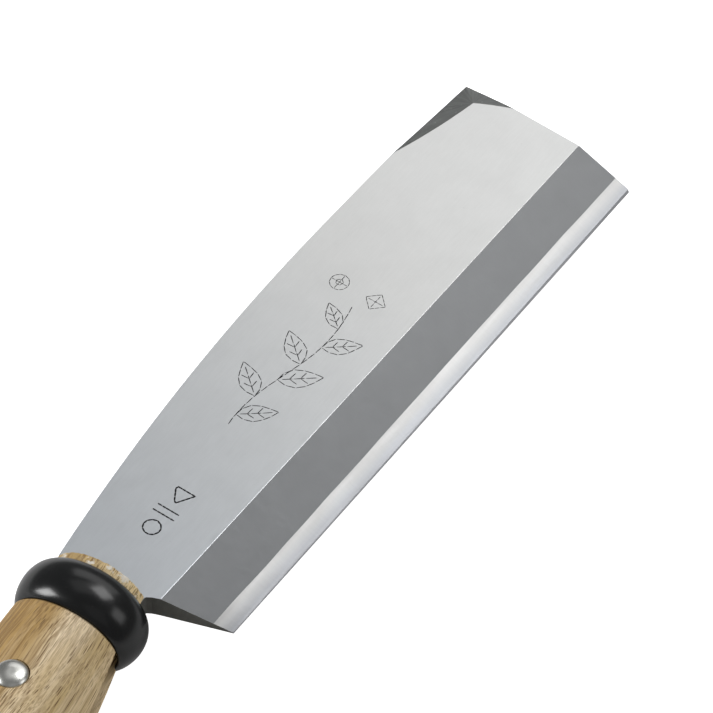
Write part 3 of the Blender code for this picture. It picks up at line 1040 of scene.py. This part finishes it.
# ---- handle ----------------------------------------------------------------------------
def handle_section(s):
    """Middle, half width and half thickness of the handle at s, on a smooth curve."""
    rows = HANDLE_SECTIONS
    last = len(rows) - 1
    s = min(max(s, rows[0][0]), rows[last][0])
    k = 0
    while k < last - 1 and s > rows[k + 1][0]:
        k += 1
    before, start, end = rows[max(k - 1, 0)], rows[k], rows[k + 1]
    after = rows[min(k + 2, last)]
    step = end[0] - start[0]
    t = (s - start[0]) / step
    values = []
    for c in (1, 2, 3):
        slope_in = (end[c] - before[c]) / (end[0] - before[0]) * step
        slope_out = (after[c] - start[c]) / (after[0] - start[0]) * step
        blend = (2 * t**3 - 3 * t**2 + 1) * start[c] + (3 * t**2 - 2 * t**3) * end[c]
        blend += (t**3 - 2 * t**2 + t) * slope_in + (t**3 - t**2) * slope_out
        values.append(blend)
    return values


def rounded_corner(start, corner, end, steps):
    """Points of a quadratic curve from start to end, without the ends."""
    points = []
    for i in range(1, steps):
        t = i / steps
        points.append(tuple(
            (1 - t) ** 2 * a + 2 * t * (1 - t) * b + t * t * c for a, b, c in zip(start, corner, end)))
    return points


def slot_wall(lip_start, lip_v, roof_v):
    """Lower wall of the slot as (v, z), from its rounded lip to its rounded roof."""
    floor_z = -SLOT_GAP
    inner = (lip_v + SLOT_LIP, floor_z)
    wall = rounded_corner(lip_start, (lip_v, floor_z), inner, 4)
    for i in range(9):
        wall.append((inner[0] + (roof_v - SLOT_LIP - inner[0]) * i / 8, floor_z))
    wall += rounded_corner(wall[-1], (roof_v, floor_z), (roof_v, floor_z + SLOT_LIP), 3)
    wall.append((roof_v, floor_z + SLOT_LIP))
    return wall


def handle_outline(s, inset, slotted):
    """Section of the handle as (v, z): an oval with its slot, or with the slot closed up."""
    middle, width, thickness = handle_section(s)
    width -= inset
    thickness -= inset
    slot_angle = asin((MID_Z + SLOT_GAP) / thickness)
    lip_v = middle - width * cos(slot_angle)
    open_angle = pi - slot_angle - SLOT_LIP / width
    steps = 150
    outer = []
    for i in range(steps + 1):
        angle = open_angle * (1.0 - 2.0 * i / steps)
        rough = rough_depth(s, angle)
        outer.append((middle + (width - rough) * cos(angle), MID_Z + (thickness - rough) * sin(angle)))
    roof_share = (s - TANG_SPINE[0][0]) / (SLOT_END - TANG_SPINE[0][0])
    roof_v = TANG_SPINE[0][1] + (TANG_SPINE[1][1] - TANG_SPINE[0][1]) * roof_share + SLOT_ROOF_GAP
    wall = slot_wall(outer[-1], lip_v, roof_v)
    if not slotted:
        count = len(wall)
        gap = pi - open_angle
        angles = [-open_angle - gap * (i + 1) / (count + 0.5) for i in range(count)]
        wall = [(middle + width * cos(a), MID_Z + thickness * sin(a)) for a in angles]
    mirrored = [(v, 2.0 * MID_Z - z) for v, z in reversed(wall)]
    return outer + wall + mirrored


def rough_depth(s, angle):
    """How deep the torn fibres of the collar lie under its smooth surface."""
    fade = min(max((COLLAR_END - s) / 0.4, 0.0), 1.0)
    if fade == 0.0:
        return 0.0
    around = (6.0 * cos(angle), 6.0 * sin(angle))
    tears = noise.noise((around[0] * 1.5, around[1] * 1.5, s * 0.5))
    fibres = noise.noise((around[0] * 4.0, around[1] * 4.0, s * 0.9 + 7.0))
    return fade * (0.16 + 0.3 * max(tears, -0.3) + 0.14 * fibres)


def nose_tilt(s):
    """Tilt of a section of the handle in degrees: the ring's at the nose, none further back."""
    return RING_TILT * min(max((NOSE_TILT_END - s) / (NOSE_TILT_END - SHOULDER_END), 0.0), 1.0)


def walk(start, *spans):
    """Places from a start onwards; each span is (where it stops, step)."""
    places = []
    s = start
    for stop, step in spans:
        while s < stop:
            places.append(s)
            s += step
    return places


def handle_stations():
    """Section places from the collar to the butt, as (s, inset, slotted)."""
    stations = [(HANDLE_FRONT, 0.4, True), (HANDLE_FRONT + 0.12, 0.12, True)]
    ring_back = RING_FRONT + RING_WIDTH
    slotted = walk(HANDLE_FRONT + 0.35, (COLLAR_END + 1.0, 0.3), (ring_back - 1.0, 2.0))
    slotted += walk(ring_back, (SHOULDER_END + 1.0, 0.13), (SLOT_END - 1.0, 2.0))
    stations += [(s, 0.0, True) for s in [*slotted, SLOT_END]]
    stop = HANDLE_FRONT + HANDLE_LENGTH - HANDLE_END_RADIUS
    closed = walk(SLOT_END + 2.0, (stop - 1.0, 2.0))
    stations += [(s, 0.0, False) for s in [SLOT_END + 0.01, *closed]]
    for i in range(9):
        angle = pi / 2.0 * i / 8
        inset = HANDLE_END_RADIUS * (1.0 - cos(angle))
        stations.append((stop + HANDLE_END_RADIUS * sin(angle), inset, False))
    return stations


def leaning(s, v, z, degrees):
    """A handle place in metres, leant by an angle about the middle of the ring."""
    return (mm(-s - (RING_MIDDLE_V - v) * tan(radians(degrees))), mm(v), mm(z))


def seat_z(side):
    """Height of the seat of a rivet head; side is +1 above, -1 below."""
    return HEAD_SEAT_Z if side > 0 else THICKNESS - HEAD_SEAT_Z


def rivet_pocket(s, v, side):
    """A cutter for the shallow round seat of a rivet head."""
    level = seat_z(side) - side * POCKET_DEPTH
    outside = level + side * 20.0
    radius = HEAD_RADIUS + POCKET_GAP
    pocket = lathe("pocket", [(0.0, level), (radius, level), (radius, outside), (0.0, outside)])
    return in_frame(pocket, Matrix.Translation((mm(-s), mm(v), 0.0)))


def build_handle():
    """The oak handle, in place of its CAD node."""
    rings = [
        [leaning(s, v, z, nose_tilt(s)) for v, z in handle_outline(s, inset, slotted)]
        for s, inset, slotted in handle_stations()
    ]
    handle = loft("handle_oak", rings)
    for s, v in RIVET_PLACES.values():
        boolean(handle, rivet_pocket(s, v, 1.0))
        boolean(handle, rivet_pocket(s, v, -1.0))
    in_frame(handle, HANDLE_FRAME)
    smooth(handle, 35.0)
    handle.data.materials.append(oak_material())
    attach(handle, "root")
    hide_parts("handle")


def ring_ovals():
    """The ring as ovals (s, middle, half width, half thickness): its outside, then its bore."""
    across = 28
    end_rise = sqrt(1.0 - RING_FULLNESS ** 2)
    ovals = []
    for k in range(across + 1):
        t = -cos(pi * k / across)
        s = RING_FRONT + RING_WIDTH * (t + 1.0) / 2.0
        rise = (sqrt(1.0 - (RING_FULLNESS * t) ** 2) - end_rise) / (1.0 - end_rise)
        middle, width, thickness = handle_section(s)
        width += RING_LIP
        thickness += RING_LIP
        middle += (RING_MIDDLE_V - middle) * rise
        width += (RING_HALF_WIDTH - width) * rise
        thickness += (RING_HALF_THICKNESS - thickness) * rise
        ovals.append((s, middle, width, thickness))
    for k in range(5):
        s = RING_FRONT + RING_WIDTH * (1.0 - k / 4)
        middle, width, thickness = handle_section(s)
        ovals.append((s, middle, width + RING_GAP, thickness + RING_GAP))
    return ovals


def build_ring():
    """The fat black ring, in place of its CAD node."""
    around = 144
    ovals = ring_ovals()
    rings = []
    for i in range(around):
        angle = 2.0 * pi * i / around
        rings.append([
            leaning(s, middle + width * cos(angle), MID_Z + thickness * sin(angle), RING_TILT)
            for s, middle, width, thickness in ovals
        ])
    ring = loft("ring_black", rings, closed_row=True)
    in_frame(ring, HANDLE_FRAME)
    smooth(ring, 50.0)
    ring.data.materials.append(black_material())
    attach(ring, "root")
    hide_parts("ring_ferrule")


def rivet_profile(side):
    """Half section of a rivet head with its shank: crown, dimple, rim and seat."""
    seat = seat_z(side)
    crown = HEAD_RIM + HEAD_DOME
    profile = [(0.0, seat + side * (crown - HEAD_DIMPLE))]
    steps = 20
    for i in range(1, steps + 1):
        angle = pi / 2.0 * (1.0 - i / steps)
        radius = HEAD_RADIUS * cos(angle)
        dip = HEAD_DIMPLE * max(1.0 - (radius / 0.9) ** 2, 0.0) ** 2
        profile.append((radius, seat + side * (HEAD_RIM + HEAD_DOME * sin(angle) - dip)))
    profile.append((HEAD_RADIUS - 0.04, seat + side * 0.06))
    profile.append((HEAD_RADIUS - 0.15, seat))
    profile.append((TUBE_RADIUS, seat))
    profile.append((TUBE_RADIUS, MID_Z + side * 0.2))
    profile.append((0.0, MID_Z + side * 0.2))
    return profile


def build_rivets():
    """Domed rivet heads, in place of the CAD rivets."""
    material = rivet_material()
    for name, (s, v) in RIVET_PLACES.items():
        for part, side in (("head", 1.0), ("socket", -1.0)):
            rivet = lathe(name + "_rivet_" + part + "_polished", rivet_profile(side))
            in_frame(rivet, HANDLE_FRAME @ Matrix.Translation((mm(-s), mm(v), 0.0)))
            smooth(rivet, 40.0)
            rivet.data.materials.append(material)
            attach(rivet, "root")
            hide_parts(name + "_rivet_" + part)


# ---- stage -----------------------------------------------------------------------------
def build_camera():
    """The camera at the angle of the reference view."""
    data = bpy.data.cameras.new("camera")
    data.lens = CAMERA_LENS
    data.sensor_width = 36.0
    data.clip_start = 0.01
    data.clip_end = 20.0
    camera = new_object("camera", data)
    place = Vector(CAMERA_PLACE)
    turn = (Vector(CAMERA_TARGET) - place).to_track_quat("-Z", "Y")
    roll = Matrix.Rotation(radians(CAMERA_ROLL), 4, "Z")
    camera.matrix_world = Matrix.Translation(place) @ turn.to_matrix().to_4x4() @ roll
    bpy.context.scene.camera = camera


def softbox(name, azimuth, elevation, size, radiance):
    """A soft light of (width, height) metres that faces the knife from a direction."""
    data = bpy.data.lights.new(name, "AREA")
    data.shape = "RECTANGLE"
    data.size, data.size_y = size
    data.energy = radiance * pi * size[0] * size[1]
    lamp = new_object(name, data)
    az, el = radians(azimuth), radians(elevation)
    lamp.location = Vector((cos(el) * cos(az), cos(el) * sin(az), sin(el))) * SOFTBOX_DISTANCE
    lamp.rotation_euler = lamp.location.to_track_quat("Z", "Y").to_euler()


def floor_material(name, emission):
    """A pale floor with a faint grain; emission lifts it to an even white."""
    material, tree, shader = new_material(name)
    grain = noise_value(tree, node(tree, "ShaderNodeTexCoord").outputs["Object"], 40.0, 2.0)
    set_inputs(tree, shader, {
        "Base Color": mix_colour(tree, grain, (0.84, 0.84, 0.84), (0.86, 0.86, 0.86)),
        "Roughness": 0.9,
        "Emission Color": (1.0, 1.0, 1.0, 1.0),
        "Emission Strength": emission,
    })
    return material


def build_floor(name, height, emission):
    """One large level floor."""
    work = bmesh.new()
    bmesh.ops.create_grid(work, x_segments=1, y_segments=1, size=FLOOR_HALF_SIZE)
    floor = object_from_bmesh(name, work)
    floor.location = (0.0, 0.0, height)
    floor.data.materials.append(floor_material(name, emission))
    return floor


def build_stage():
    """Pale floor, plain world and soft studio light."""
    under = cad_bounds[0][2] - FLOOR_GAP
    build_floor("floor", under - FLOOR_STEP, 0.0)
    backdrop = build_floor("floor_shown", under, 1.0)
    backdrop.visible_diffuse = False
    backdrop.visible_glossy = False
    backdrop.visible_shadow = False
    world = bpy.data.worlds.new("studio")
    bpy.context.scene.world = world
    world.use_nodes = True
    background = world.node_tree.nodes["Background"]
    background.inputs["Color"].default_value = (1.0, 1.0, 1.0, 1.0)
    background.inputs["Strength"].default_value = 0.2
    for name, light in SOFTBOXES.items():
        softbox(name, *light)
    bpy.context.scene.view_settings.view_transform = "Standard"


build_camera()
build_stage()
build_blade()
build_handle()
build_ring()
build_rivets()
